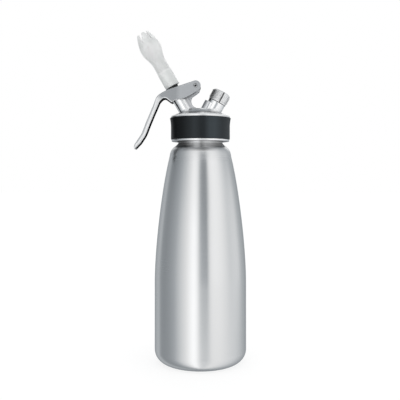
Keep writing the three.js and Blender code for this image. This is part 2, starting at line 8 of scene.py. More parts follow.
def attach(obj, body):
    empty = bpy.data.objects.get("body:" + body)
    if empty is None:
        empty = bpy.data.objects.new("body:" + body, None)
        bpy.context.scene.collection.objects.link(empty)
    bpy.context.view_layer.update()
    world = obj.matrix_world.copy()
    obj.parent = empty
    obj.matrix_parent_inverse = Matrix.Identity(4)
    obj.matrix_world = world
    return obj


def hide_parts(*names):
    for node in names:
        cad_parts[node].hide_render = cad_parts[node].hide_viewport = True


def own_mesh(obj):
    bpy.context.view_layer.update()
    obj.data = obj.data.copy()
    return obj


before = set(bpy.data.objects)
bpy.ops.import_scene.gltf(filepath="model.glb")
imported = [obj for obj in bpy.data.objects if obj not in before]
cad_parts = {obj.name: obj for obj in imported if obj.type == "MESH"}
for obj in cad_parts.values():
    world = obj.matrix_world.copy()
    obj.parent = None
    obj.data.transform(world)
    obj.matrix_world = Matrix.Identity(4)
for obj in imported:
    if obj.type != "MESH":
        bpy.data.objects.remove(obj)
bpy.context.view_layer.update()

# Lengths are in millimetres and angles in degrees, as in the solids. MM turns a length into metres.
MM = 0.001
TINY = 1e-6

# Places (x, z) that several pieces share: the seats of nozzle and charger, and the lever's pivot
SPOUT_SEAT, SPOUT_TILT = (-29.5, 291.9), 30
INLET_SEAT, INLET_TILT = (20.6, 280.6), 28
PIVOT = (-5.2, 291.6)


def shift(x, z):
    return Matrix.Translation((x * MM, 0, z * MM))


def leaning(seat, tilt):
    """Frame of an axis that leans to the right by tilt."""
    return shift(*seat) @ Matrix.Rotation(math.radians(tilt), 4, "Y")


UPRIGHT = Matrix.Identity(4)
SIDEWAYS = Matrix.Rotation(math.pi / 2, 4, "X")
SPOUT = leaning(SPOUT_SEAT, -SPOUT_TILT)
INLET = leaning(INLET_SEAT, INLET_TILT)
PIN = shift(*PIVOT) @ SIDEWAYS


# ---- line helpers
def arc(centre, radius, start, end, steps):
    points = []
    for i in range(steps + 1):
        angle = math.radians(start + (end - start) * i / steps)
        points.append((centre[0] + radius * math.cos(angle), centre[1] + radius * math.sin(angle)))
    return points


def bezier(a, b, c, d, steps):
    points = []
    for i in range(steps + 1):
        t = i / steps
        weights = ((1 - t) ** 3, 3 * t * (1 - t) ** 2, 3 * t * t * (1 - t), t ** 3)
        points.append(tuple(sum(w * p[k] for w, p in zip(weights, (a, b, c, d))) for k in (0, 1)))
    return points


def spline(knots, steps):
    """Smooth line through knots."""
    points = []
    for i in range(len(knots) - 1):
        p0 = knots[max(i - 1, 0)]
        p1, p2 = knots[i], knots[i + 1]
        p3 = knots[min(i + 2, len(knots) - 1)]
        for s in range(steps):
            t = s / steps
            points.append(tuple(
                0.5 * (2 * p1[k] + (p2[k] - p0[k]) * t
                       + (2 * p0[k] - 5 * p1[k] + 4 * p2[k] - p3[k]) * t * t
                       + (3 * p1[k] - p0[k] - 3 * p2[k] + p3[k]) * t ** 3)
                for k in (0, 1)
            ))
    points.append(tuple(knots[-1]))
    return points


def offset_line(line, distance, sharpest=math.sqrt(0.5)):
    """Line moved sideways, to the left of its direction. sharpest limits the reach of corners."""
    moved = []
    for i, (x, y) in enumerate(line):
        before, after = Vector(line[max(i - 1, 0)]), Vector(line[min(i + 1, len(line) - 1)])
        here = Vector((x, y))
        back, ahead = (here - before), (after - here)
        back = back.normalized() if back.length else ahead.normalized()
        ahead = ahead.normalized() if ahead.length else back
        along = (back + ahead).normalized()
        widening = max(along.dot(back), sharpest)
        moved.append((x - along.y * distance / widening, y + along.x * distance / widening))
    return moved


def soften(points, radius, closed=False, steps=3, flattest=20, longest=0.45):
    """Profile with its corners rounded.

    A corner that turns by less than flattest degrees stays, and a rounding takes up no more than
    the longest share of a side.
    """
    out = []
    count = len(points) - 1 if closed else len(points)
    for i in range(count):
        p = Vector(points[i])
        if not closed and i in (0, count - 1):
            out.append(tuple(p))
            continue
        a = Vector(points[(i - 1) % count]) - p
        b = Vector(points[(i + 1) % count]) - p
        if a.length < TINY or b.length < TINY:
            continue
        inner = a.angle(b)
        if math.degrees(math.pi - inner) < flattest:
            out.append(tuple(p))
            continue
        reach = min(radius / math.tan(inner / 2), longest * a.length, longest * b.length)
        start, end = p + a.normalized() * reach, p + b.normalized() * reach
        for s in range(steps + 1):
            t = s / steps
            out.append(tuple(start * (1 - t) ** 2 + p * 2 * t * (1 - t) + end * t * t))
    if closed:
        out.append(out[0])
    return out


def dense(profile, low, high, step):
    """Profile with short rows wherever it climbs between low and high."""
    out = [profile[0]]
    for a, b in zip(profile, profile[1:]):
        if abs(a[0] - b[0]) < 1e-3 and min(a[1], b[1]) < high and max(a[1], b[1]) > low:
            count = max(1, round(abs(b[1] - a[1]) / step))
            out += [(a[0], a[1] + (b[1] - a[1]) * i / count) for i in range(1, count)]
        out.append(b)
    return out


# ---- mesh helpers
def make_object(name, data):
    obj = bpy.data.objects.new(name, data)
    bpy.context.scene.collection.objects.link(obj)
    return obj


def shade(mesh, angle):
    """Smooth shading, with sharp edges where faces meet at more than angle."""
    for polygon in mesh.polygons:
        polygon.use_smooth = True
    mesh.set_sharp_from_angle(angle=math.radians(angle))


def mesh_from(name, verts, faces, angle=35):
    mesh = bpy.data.meshes.new(name)
    mesh.from_pydata([tuple(c * MM for c in v) for v in verts], [], faces)
    work = bmesh.new()
    work.from_mesh(mesh)
    bmesh.ops.recalc_face_normals(work, faces=work.faces)
    work.to_mesh(mesh)
    work.free()
    shade(mesh, angle)
    return make_object(name, mesh)


def bands(rows, size):
    """Faces between closed rows of vertices, each of one size, numbered one after the other."""
    return [(low + i, low + (i + 1) % size, low + size + (i + 1) % size, low + size + i)
            for low in range(0, (rows - 1) * size, size) for i in range(size)]


def lids(size, count):
    """Faces that close the first and the last row of count vertices."""
    return [tuple(range(size)), tuple(range(count - 1, count - size - 1, -1))]


def lathe(name, profile, sides=96, displace=None, angle=35):
    """Turned mesh. displace(turn, r, z) gives a point's radius where the surface is threaded."""
    closed = profile[0] == profile[-1]
    rows = profile[:-1] if closed else profile
    verts, ids = [], []
    for r, z in rows:
        if r < TINY:
            verts.append((0, 0, z))
            ids.append([len(verts) - 1] * sides)
            continue
        row = []
        for i in range(sides):
            turn = 2 * math.pi * i / sides
            radius = displace(i / sides, r, z) if displace else r
            verts.append((radius * math.cos(turn), radius * math.sin(turn), z))
            row.append(len(verts) - 1)
        ids.append(row)
    pairs = list(zip(ids, ids[1:])) + ([(ids[-1], ids[0])] if closed else [])
    faces = []
    for low, high in pairs:
        for i in range(sides):
            k = (i + 1) % sides
            corners = []
            for v in (low[i], low[k], high[k], high[i]):
                if v not in corners:
                    corners.append(v)
            if len(corners) > 2:
                faces.append(tuple(corners))
    return mesh_from(name, verts, faces, angle)


def plate(name, outline, width):
    """Plate from an outline of (x, z), centred on Y = 0."""
    n = len(outline)
    verts = [(x, side * width / 2, z) for side in (-1, 1) for x, z in outline]
    return mesh_from(name, verts, lids(n, 2 * n) + bands(2, n))


def rod(name, radius, low, high, matrix=UPRIGHT, sides=64):
    obj = lathe(name, [(0, low), (radius, low), (radius, high), (0, high)], sides)
    obj.data.transform(matrix)
    return obj


def cross_bar(name, radius, width, centre, sides=48):
    """Rod along Y through a point (x, z)."""
    return rod(name, radius, -width / 2, width / 2, shift(*centre) @ SIDEWAYS, sides)


def bake(obj, angle=35):
    """Applies an object's modifiers, and shades it anew where an angle is given."""
    graph = bpy.context.evaluated_depsgraph_get()
    graph.update()
    mesh = bpy.data.meshes.new_from_object(obj.evaluated_get(graph))
    obj.modifiers.clear()
    obj.data = mesh
    if angle:
        shade(mesh, angle)


def flatten(obj):
    """Lets wide faces keep their own flat shading beside rounded edges."""
    weigh = obj.modifiers.new("weigh", "WEIGHTED_NORMAL")
    weigh.keep_sharp = True
    bake(obj, None)


def boolean(obj, others, operation):
    for other in others:
        modifier = obj.modifiers.new("cut", "BOOLEAN")
        modifier.operation = operation
        modifier.solver = "EXACT"
        modifier.object = other
    bake(obj)
    for other in others:
        bpy.data.objects.remove(other)
    return obj


def cast(obj, voxel, smoothing):
    """Even skin over a union, with soft edges and fillets."""
    remesh = obj.modifiers.new("skin", "REMESH")
    remesh.mode = "VOXEL"
    remesh.voxel_size = voxel * MM
    smooth = obj.modifiers.new("soft", "SMOOTH")
    smooth.factor = 0.5
    smooth.iterations = smoothing
    bake(obj, 60)


def bevel_edges(obj, width, segments, flattest):
    bevel = obj.modifiers.new("edge", "BEVEL")
    bevel.width = width * MM
    bevel.segments = segments
    bevel.limit_method = "ANGLE"
    bevel.angle_limit = math.radians(flattest)
    bake(obj, 40)


def mark(mesh, name, test):
    """Face attribute for a material: 1 on the polygons that pass the test."""
    attribute = mesh.attributes.new(name, "FLOAT", "FACE")
    for i, polygon in enumerate(mesh.polygons):
        attribute.data[i].value = float(test(polygon.center, polygon.normal))


def place(obj, matrix, body, slot, material, *nodes):
    """Puts a piece on its axis and on its body. The lean goes into the mesh."""
    obj.data.transform(matrix)
    obj.data.materials.clear()
    obj.data.materials.append(material)
    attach(obj, body)
    if nodes:
        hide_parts(*nodes)


# ---- materials
EVEN = (1, 1, 1)
AROUND = (6, 6, 900)
WHITE = (1, 1, 1)
METAL_GRAIN, RUBBER_GRAIN = 0.2, 0.06


class Nodes:
    """Short ways to make and join the nodes of one tree."""

    def __init__(self, tree):
        self.tree = tree

    def node(self, kind, **values):
        made = self.tree.nodes.new(kind)
        for key, value in values.items():
            setattr(made, key, value)
        return made

    def link(self, source, target):
        self.tree.links.new(source, target)

    def feed(self, target, value):
        """Sets a socket to a number or a colour, or links it."""
        if isinstance(value, tuple):
            target.default_value = (*value, 1)
        elif isinstance(value, (int, float)):
            target.default_value = value
        else:
            self.link(value, target)

    def span(self, source, low, high, start=0.3, end=0.7, interpolation="LINEAR"):
        """low to high while the source goes from start to end, which by default fits a noise."""
        ranged = self.node("ShaderNodeMapRange", interpolation_type=interpolation)
        limits = {"From Min": start, "From Max": end, "To Min": low, "To Max": high}
        for key, value in limits.items():
            ranged.inputs[key].default_value = value
        self.link(source, ranged.inputs["Value"])
        return ranged.outputs["Result"]

    def maths(self, operation, a, b):
        made = self.node("ShaderNodeMath", operation=operation)
        self.feed(made.inputs[0], a)
        self.feed(made.inputs[1], b)
        return made.outputs["Value"]

    def mixed(self, factor, a, b, blend="MIX"):
        mix = self.node("ShaderNodeMix", data_type="RGBA", blend_type=blend)
        self.feed(mix.inputs["Factor"], factor)
        self.feed(mix.inputs[6], a)
        self.feed(mix.inputs[7], b)
        return mix.outputs[2]

    def ramp(self, factor, stops):
        """Colour along a factor, from stops of a place and a colour."""
        made = self.node("ShaderNodeValToRGB")
        elements = made.color_ramp.elements
        elements.remove(elements[-1])
        for i, (position, colour) in enumerate(stops):
            element = elements[0] if i == 0 else elements.new(position)
            element.position = position
            element.color = (*colour, 1)
        self.link(factor, made.inputs["Fac"])
        return made.outputs["Color"]


class Graph(Nodes):
    """Nodes of a material that works along a piece's own axis."""

    def __init__(self, name, axis=UPRIGHT):
        self.material = bpy.data.materials.new(name)
        self.material.use_nodes = True
        super().__init__(self.material.node_tree)
        self.shader = self.tree.nodes["Principled BSDF"]
        own = self.node("ShaderNodeMapping", vector_type="TEXTURE")
        own.inputs["Location"].default_value = axis.to_translation()
        own.inputs["Rotation"].default_value = axis.to_euler()
        self.link(self.node("ShaderNodeTexCoord").outputs["Object"], own.inputs["Vector"])
        self.coords = own.outputs["Vector"]

    def noise(self, stretch, scale, detail, roughness=0.55):
        mapping = self.node("ShaderNodeMapping")
        mapping.inputs["Scale"].default_value = stretch
        self.link(self.coords, mapping.inputs["Vector"])
        noise = self.node("ShaderNodeTexNoise")
        noise.inputs["Scale"].default_value = scale
        noise.inputs["Detail"].default_value = detail
        noise.inputs["Roughness"].default_value = roughness
        self.link(mapping.outputs["Vector"], noise.inputs["Vector"])
        return noise.outputs["Fac"]

    def brushing(self, stretch, scale):
        """Fine lines of a metal's surface, across the axis with the largest stretch."""
        return self.noise(stretch, scale, 4.0, 0.6)

    def clouds(self, scale=60):
        return self.noise(EVEN, scale, 2.0)

    def blend(self, share, low, high):
        return self.span(share, low, high, 0.0, 1.0)

    def share(self, distance, start, end):
        """0 to 1 between two distances, which are given in millimetres."""
        return self.span(distance, 0.0, 1.0, start * MM, end * MM)

    def along(self, axis, start, end):
        """0 to 1 between two places on one of the piece's axes."""
        return self.share(self.parts()[axis], start, end)

    def parts(self):
        split = self.node("ShaderNodeSeparateXYZ")
        self.link(self.coords, split.inputs[0])
        return split.outputs

    def slanted(self, seat, direction):
        """Distance from a seat along a direction in the XZ plane."""
        parts = self.parts()
        x, z = (self.maths("MULTIPLY", self.maths("ADD", parts[axis], -start * MM), step)
                for axis, start, step in zip("XZ", seat, direction))
        return self.maths("ADD", x, z)

    def product(self, first, *others):
        for other in others:
            first = self.maths("MULTIPLY", first, other)
        return first

    def times(self, a, b):
        return self.mixed(1.0, a, b, "MULTIPLY")

    def attribute(self, name):
        return self.node("ShaderNodeAttribute", attribute_name=name).outputs["Fac"]

    def edges(self, start=0.52, end=0.62):
        geometry = self.node("ShaderNodeNewGeometry")
        return self.span(geometry.outputs["Pointiness"], 0.0, 1.0, start, end)

    def paint(self, colour, rough, metallic=0.0):
        inputs = self.shader.inputs
        for key, value in (("Base Color", colour), ("Roughness", rough), ("Metallic", metallic)):
            self.feed(inputs[key], value)

    def bump(self, height, strength, distance):
        made = self.node("ShaderNodeBump")
        made.inputs["Strength"].default_value = strength
        made.inputs["Distance"].default_value = distance * MM
        self.link(height, made.inputs["Height"])
        self.link(made.outputs["Normal"], self.shader.inputs["Normal"])

    def set(self, **values):
        for key, value in values.items():
            self.shader.inputs[key.replace("_", " ")].default_value = value


def scaled(colour, share):
    return tuple(min(1.0, c * share) for c in colour)


def tinted(levels, colour=WHITE):
    """Stops of a ramp: one colour at several levels."""
    return [(position, [c * level for c in colour]) for position, level in levels]


def side_of(tilt):
    """Direction across an axis that leans to the left by tilt."""
    return math.cos(math.radians(tilt)), math.sin(math.radians(tilt))


def steel(name, colour, rough, spread, bump, axis=UPRIGHT, stretch=AROUND, grain=1.6, cloud=60,
          anisotropy=0.0, dress=None):
    """Brushed or turned metal. stretch directs its lines, dress adds what one piece alone has."""
    g = Graph(name, axis)
    fine, broad = g.brushing(stretch, grain), g.clouds(cloud)
    lines = g.mixed(g.span(fine, 0.0, 1.0), scaled(colour, 1 - spread), scaled(colour, 1 + spread))
    smudged = g.mixed(g.span(broad, 0.0, 0.5), lines, scaled(colour, 1 - spread / 2))
    worn = g.mixed(g.edges(), smudged, scaled(colour, 1.1))
    varied = g.maths("ADD", g.span(fine, rough - 0.04, rough + 0.04), g.span(broad, -0.02, 0.03))
    g.paint(*(dress(g, colour, worn, varied) if dress else (worn, varied, 1.0)))
    if anisotropy:
        tangent = g.node("ShaderNodeTangent", direction_type="RADIAL", axis="Z")
        g.link(tangent.outputs["Tangent"], g.shader.inputs["Tangent"])
        g.set(Anisotropic=anisotropy, Anisotropic_Rotation=0.25)
    g.bump(fine, bump, METAL_GRAIN)
    return g.material


# Painted reflection of the head's dark underside, across the top of the shoulder
SHOULDER_PAINTED_REFLECTION = [
    (0.0, 0.8), (0.1, 0.72), (0.19, 1.0), (0.28, 0.7), (0.37, 0.76), (0.46, 0.66), (0.52, 0.46),
    (0.56, 0.46), (0.6, 0.6), (0.65, 0.74), (0.74, 0.94), (0.83, 1.0),
]
# Painted light and shade across the neck: dark on its left, with bright bands near the middle
NECK_PAINTED_LIGHT_AND_SHADE = [
    (0.0, 0.14), (0.08, 0.16), (0.2, 0.32), (0.3, 0.85), (0.38, 1.32), (0.45, 1.3), (0.52, 0.75),
    (0.6, 1.1), (0.7, 1.05), (0.82, 0.7), (0.93, 0.45), (1.0, 0.45),
]
# Levels up the dome: darker at its lower edge, and painted shade on the cone round the raised
# centre
DOME_LEVELS = [
    (0.0, 0.6), (0.078, 0.6), (0.09, 1.0), (0.767, 1.0), (0.78, 0.5), (0.8325, 0.5), (0.875, 1.0),
]


def bottle_dress(g, colour, worn, varied):
    """Duller shoulder with a painted reflection of the head's underside near its top, and a satin
    neck in the head's shade with painted light and shade across it.
    """
    # Painted reflection of the head's underside on a band at the top of the shoulder
    edge = g.product(g.along("Z", 221.8, 223.2), g.along("Z", 226.6, 225.6))
    darker = g.times(worn, g.ramp(g.along("X", -35, 35), tinted(SHOULDER_PAINTED_REFLECTION)))
    # Painted light and shade across the neck
    neck = g.ramp(g.along("X", -25, 25), tinted(NECK_PAINTED_LIGHT_AND_SHADE, colour))
    shown = g.mixed(g.along("Z", 225, 226.8), g.mixed(edge, worn, darker), neck)
    varied = g.maths("ADD", varied, g.blend(g.along("Z", 227.5, 231.5), 0.0, 0.08))
    varied = g.maths("ADD", varied, g.blend(g.along("Z", 211, 219.5), 0.0, 0.11))
    return shown, varied, g.blend(g.along("Z", 227.5, 229.5), 1.0, 0.3)


def dome_dress(g, colour, worn, varied):
    """Satin lip under the band, made paler as a painted highlight, a white line of painted
    highlight on the flange, a darker lower edge, and painted shade on the cone.
    """
    lip = g.along("Z", 236.2, 235.2)
    # Painted highlight: the lip is paler
    paler = g.mixed(lip, worn, scaled(colour, 1.06))
    shown = g.times(paler, g.ramp(g.along("Z", 230, 270), tinted(DOME_LEVELS)))
    # Painted highlight: the flange's line is less metallic, so it shows white
    flange = g.product(g.along("Z", 258.8, 259.2), g.along("Z", 260.8, 260.4))
    return shown, g.maths("ADD", varied, g.blend(lip, 0.0, 0.06)), g.blend(flange, 1.0, 0.25)


def pin_dress(g, colour, worn, varied):
    """Bright rims, and painted shade in the rough dimple of each end."""
    # Painted shade: the dimples are nearly black
    dimple = g.share(g.maths("ABSOLUTE", g.parts()["Z"], 0.0), 9.2, 8.8)
    shown = g.mixed(dimple, worn, scaled(colour, 0.05))
    return shown, g.maths("ADD", varied, g.blend(dimple, 0.0, 0.3)), 1.0


def stud_steel(name, levels, colour, axis):
    """Threaded steel, with painted light and shade across it and painted shade in its thread's
    roots.
    """
    g = Graph(name, axis)
    fine = g.brushing(AROUND, 1.6)
    # Painted light and shade across the piece
    across = g.ramp(g.along("X", -10.3, 10.3), tinted(levels, colour))
    flat = g.node("ShaderNodeVectorMath", operation="MULTIPLY")
    flat.inputs[1].default_value = (1, 1, 0)
    g.link(g.coords, flat.inputs[0])
    length = g.node("ShaderNodeVectorMath", operation="LENGTH")
    g.link(flat.outputs["Vector"], length.inputs[0])
    # Painted shade: the thread's roots are darker than its crests
    crest = g.share(length.outputs["Value"], 9.5, 10.1)
    shown = g.times(across, g.mixed(crest, scaled(WHITE, 0.88), WHITE))
    g.paint(shown, g.span(fine, 0.26, 0.34), 0.5)
    g.bump(fine, 0.01, METAL_GRAIN)
    return g.material


def cast_steel(name, polished, satin, pale, dark):
    """Polished spout and inlet neck, satin horn and lug: each changes along its axis's side. Pale,
    less metallic painted highlights run along the spout and on the edge of the raised centre, and
    painted shade darkens a spot below the inlet's thread.
    """
    g = Graph(name)
    fine, broad = g.brushing(EVEN, 900), g.clouds()
    inlet_side = side_of(-INLET_TILT)
    beside_spout = g.slanted(SPOUT_SEAT, side_of(SPOUT_TILT))
    beside_inlet = g.slanted(INLET_SEAT, inlet_side)
    along_inlet = g.slanted(INLET_SEAT, (-inlet_side[1], inlet_side[0]))
    horn = g.product(g.share(beside_spout, 2.6, 4.6), g.along("X", 5, 2))
    lug = g.product(g.share(beside_inlet, -6.5, -8.5), g.along("X", 1, 3))
    dulled = g.maths("MAXIMUM", horn, lug)
    # Painted highlights: a band along the spout, and a line on the edge of the raised centre
    stripe = g.product(g.share(beside_spout, -1.6, -0.4), g.share(beside_spout, 4.6, 3))
    rim = g.product(g.along("Z", 266.4, 266.7), g.along("X", -3, 1), g.along("Z", 267.8, 267.4))
    white = g.maths("MAXIMUM", stripe, rim)
    # Painted shade between the inlet's thread and the lug
    notch = g.product(g.share(beside_inlet, -6.6, -7.2), g.share(along_inlet, -9.2, -8.6),
                      g.along("X", 5, 6))
    lit = g.mixed(g.span(fine, 0.0, 1.0), scaled(polished, 0.98), scaled(polished, 1.02))
    dull = g.mixed(g.span(broad, 0.0, 1.0), scaled(satin, 0.95), scaled(satin, 1.05))
    shown = g.mixed(dulled, g.mixed(white, lit, pale), dull)
    varied = g.maths("ADD", g.blend(dulled, 0.2, 0.42), g.span(broad, -0.02, 0.02))
    g.paint(g.mixed(notch, shown, dark), varied, g.blend(white, 1.0, 0.35))
    g.bump(fine, 0.02, METAL_GRAIN)
    return g.material


def lever_finish(name, handle, arm, arm_end_painted_sheen, lip, inside, scratch, smudge):
    """Pressed steel: polished handle, satin arm with a painted sheen towards its end, a painted
    highlight on the rolled lip, and painted shade inside the channel.
    """
    g = Graph(name)
    fine, broad = g.brushing((900, 30, 120), 1.2), g.clouds()
    share = g.share(g.slanted((0, 0), (0.66, 0.75)), 178.5, 183.5)
    # Painted sheen: the arm is lighter towards its end
    satin = g.mixed(g.along("X", -26.2, -21.2), arm, arm_end_painted_sheen)
    lined = g.mixed(g.span(fine, 0.0, 0.06), g.mixed(share, handle, satin), scratch)
    clouded = g.mixed(g.span(broad, 0.0, 0.1), lined, smudge)
    inner = g.attribute("inner")
    # Painted highlight on the rolled lip, painted shade inside the channel
    shown = g.mixed(inner, g.mixed(g.attribute("edge"), clouded, lip), inside)
    varied = g.maths("ADD", g.blend(share, 0.22, 0.33), g.span(broad, -0.02, 0.03))
    g.paint(shown, varied, g.blend(g.maths("MAXIMUM", share, inner), 0.62, 1.0))
    g.bump(fine, 0.04, METAL_GRAIN)
    return g.material


def soft(name, colour_of, rough, specular):
    """Rubber or silicone. colour_of(g, wear) gives its colour from the noise of its wear."""
    g = Graph(name)
    fine, wear = g.noise(EVEN, 1600, 3.0), g.noise((1, 1, 0.5), 45, 3.0)
    varied = g.maths("ADD", g.span(wear, rough - 0.05, rough + 0.05), g.span(fine, -0.04, 0.04))
    g.paint(colour_of(g, g.span(wear, 0.0, 1.0)), varied)
    g.bump(fine, 0.25, RUBBER_GRAIN)
    g.set(Specular_IOR_Level=specular)
    return g.material


def seal_colour(g, wear):
    """Black rubber, dusty on its edges."""
    black, dust = (0.012, 0.012, 0.013), (0.02, 0.02, 0.021)
    return g.mixed(g.edges(0.54, 0.7), g.mixed(wear, black, dust), scaled(dust, 1.6))


# Painted sheen across the grip, in soft upright stripes
GRIP_PAINTED_SHEEN = [
    (0.0, 0.005), (0.1, 0.004), (0.2, 0.008), (0.32, 0.021), (0.4, 0.032), (0.5, 0.021),
    (0.56, 0.023), (0.65, 0.054), (0.74, 0.056), (0.86, 0.03), (1.0, 0.028),
]


def grip_colour(g, wear):
    """Satin silicone with a painted sheen in soft upright stripes across it, mottled by the noise
    of its wear.
    """
    painted_stripes = g.ramp(g.along("X", -31.5, 31.5), tinted(GRIP_PAINTED_SHEEN, (0.8, 1.0, 1.14)))
    return g.times(painted_stripes, g.mixed(wear, scaled(WHITE, 0.94), WHITE))


NOZZLE_LENGTH, NOZZLE_R = 64.5, 11.2


def plastic(name, levels, sides, colour, axis):
    """Cloudy plastic, with painted highlights and shade along and across the piece, and painted
    light on the faces inside it.
    """
    g = Graph(name, axis)
    # Painted highlights and shade along the piece and across it
    along = g.ramp(g.along("Z", 0, NOZZLE_LENGTH), tinted(levels, colour))
    across = g.ramp(g.along("X", -11, 11), tinted(sides))
    flow = g.noise((1, 1, 0.3), 120, 2.0)
    cloudy = g.mixed(g.span(flow, 0.0, 0.1), g.times(along, across), WHITE)
    # Painted light: the faces inside are white
    g.paint(g.mixed(g.attribute("inner"), cloudy, WHITE), g.span(flow, 0.3, 0.38))
    g.set(Subsurface_Weight=1.0, Subsurface_Scale=0.003, Subsurface_Radius=(1, 1, 1), IOR=1.45,
          Specular_IOR_Level=0.4)
    g.bump(flow, 0.02, METAL_GRAIN)
    return g.material


BRIGHT, BRASS = (0.85, 0.855, 0.86), (0.73, 0.6, 0.35)
bottle_steel = steel("bottle_brushed_steel", (0.74, 0.745, 0.75), 0.22, 0.012, 0.015,
                     stretch=(8, 8, 2600), cloud=18, anisotropy=0.55, dress=bottle_dress)
# pale is the colour of the painted highlights, and dark that of the painted shade
head_steel = cast_steel("head_cast_steel", polished=(0.93, 0.935, 0.94), satin=(0.57, 0.58, 0.595),
                        pale=(0.97, 0.975, 0.98), dark=(0.01, 0.01, 0.012))
dome_steel = steel("dome_turned_steel", (0.9, 0.905, 0.91), 0.3, 0.02, 0.02, anisotropy=0.3,
                   dress=dome_dress)
# Painted sheen at the arm's end, painted highlight on the lip, painted shade inside the channel
lever_steel = lever_finish("lever_pressed_steel", handle=(0.88, 0.885, 0.89),
                           arm=(0.425, 0.44, 0.455), arm_end_painted_sheen=(0.59, 0.605, 0.62),
                           lip=(0.9, 0.905, 0.91), inside=(0.05, 0.052, 0.055),
                           scratch=(0.35, 0.36, 0.37), smudge=(0.3, 0.31, 0.33))
turned_steel = steel("turned_steel", BRIGHT, 0.16, 0.02, 0.01, SPOUT)
# Painted light and shade across the stud, with a dark line of painted shade along its vent groove
thread_steel = stud_steel("thread_steel", [
    (0.0, 0.12), (0.12, 0.18), (0.25, 0.72), (0.45, 0.98), (0.57, 0.95), (0.585, 0.12),
    (0.63, 0.12), (0.65, 1.0), (0.85, 1.0), (1.0, 0.6),
], (0.98, 0.985, 0.99), INLET)
# Painted light on the adapter's left side and painted shade on its right
adapter_steel = stud_steel("adapter_steel", [(0.0, 1.0), (0.45, 1.0), (0.6, 0.3), (1.0, 0.1)],
                           (0.95, 0.955, 0.96), SPOUT)
needle_steel = steel("needle_steel", BRIGHT, 0.16, 0.02, 0.01, INLET)
pin_steel = steel("pin_steel", (0.8, 0.805, 0.81), 0.2, 0.02, 0.01, PIN, EVEN, 900, dress=pin_dress)
brass = steel("turned_brass", BRASS, 0.25, 0.05, 0.04, SPOUT)
filter_brass = steel("filter_brass", BRASS, 0.25, 0.05, 0.04, INLET)
grip_silicone = soft("grip_silicone", grip_colour, 0.36, 0.16)
seal_rubber = soft("seal_rubber", seal_colour, 0.5, 0.4)
# Painted highlights and shade along the nozzle, then across it
nozzle_plastic = plastic("nozzle_plastic", [
    (0.0, 0.84), (0.25, 0.86), (0.27, 0.96), (0.3, 0.85), (0.5, 0.88), (0.62, 1.02), (0.7, 1.02),
    (0.8, 0.84), (1.0, 0.82),
], [
    (0.0, 0.8), (0.15, 0.88), (0.3, 1.0), (0.4, 1.08), (0.48, 1.06), (0.62, 0.9), (0.85, 0.92),
    (1.0, 0.86),
], (0.96, 0.98, 0.97), SPOUT)


# ---- threads
NECK_THREAD = {"pitch": 3.5, "turns": 3, "root_half": 0.8, "crest_half": 0.45}
STUD_THREAD = {"pitch": 1.5, "turns": 6, "root_half": 0.65, "crest_half": 0.15}
ADAPTER_THREAD = {"pitch": 1.5, "turns": 3, "root_half": 0.5, "crest_half": 0.2}
NECK_THREAD_DEPTH, NECK_ROW, SKIRT_ROW = 1.2, 0.25, 0.3


def ridge_height(phase, root_half, crest_half, pitch):
    """Share of a thread's depth at a distance from the ridge's middle."""
    distance = abs(phase - round(phase)) * pitch
    if distance <= crest_half:
        return 1.0
    if distance >= root_half:
        return 0.0
    return (root_half - distance) / (root_half - crest_half)


def thread(form, start, depth, rows, radii, runout=0.25, blunt=0.15):
    """Radius change that winds a thread on the rows and radii between two limits.

    It fades out over the runout, in turns, down to the blunt share of its depth.
    """
    def displace(turn, r, z):
        if not (rows[0] <= z <= rows[1] and radii[0] < r < radii[1]):
            return r
        phase = (z - start) / form["pitch"] - turn
        along = round(phase) + turn
        if along < 0 or along > form["turns"]:
            return r
        faded = min(1.0, blunt + min(along, form["turns"] - along) / runout)
        height = ridge_height(phase, form["root_half"], form["crest_half"], form["pitch"])
        return r + depth * faded * height
    return displace


# ---- bottle
BARREL_R, NECK_R, NECK_BORE_R, WALL = 48.5, 23.6, 22.4, 1.2
RIM_Z, RIM_START_Z = 251.5, 250
TAPER_TOP = (32.8, 217)


def make_bottle():
    base = bezier((0, 0.6), (20, 0.6), (29, 0.7), (33, 0), 12)
    foot = arc((34.5, 14), 14, -90, 0, 18)
    taper = bezier((BARREL_R, 83.8), (BARREL_R, 119.4), (41.4, 181.8), TAPER_TOP, 60)
    shoulder = bezier(TAPER_TOP, (31.3, 226.8), (29, 225.6), (NECK_R, 231), 24)
    side = [*foot, (BARREL_R, 46), *taper, *shoulder[1:]]
    inner = offset_line([(0, 0), *side, (NECK_R, RIM_Z)], WALL)
    inner[0] = (0, WALL)
    start, end = (NECK_R, RIM_START_Z), (NECK_BORE_R, RIM_START_Z)
    rim = soften([start, (NECK_R, RIM_Z), (NECK_BORE_R, RIM_Z), end], 0.5)[1:-1]
    profile = [*base, *side, start, *rim, end, *reversed(inner[:-1])]
    wind = thread(NECK_THREAD, 238.5, NECK_THREAD_DEPTH, (236, 250.4), (23.3, 23.9))
    obj = lathe("bottle_body", dense(profile, 236, 250.5, NECK_ROW), 144, wind, 30)
    place(obj, UPRIGHT, "vessel", "bottle_steel", bottle_steel, "bottle")


# ---- head
PLATEAU_Z, CEILING_Z = 267.3, 261.8
SKIRT_Z, SKIRT_BORE_R = 233.1, 25.3
SPOUT_R, SPOUT_TOP = 8, -12.4
LIP_Z, BAND_TOP_Z = 235.4, 257.9
HORN_WIDTH, PIN_HOLE_R = 9, 2.2
BITE_CENTRE, BITE_R = (0.152, -0.634), 0.337


def spout_point(side, along):
    """Point (x, z) from its place across and along the spout's axis."""
    tilt = math.radians(SPOUT_TILT)
    return (SPOUT_SEAT[0] + side * math.cos(tilt) - along * math.sin(tilt),
            SPOUT_SEAT[1] + side * math.sin(tilt) + along * math.cos(tilt))


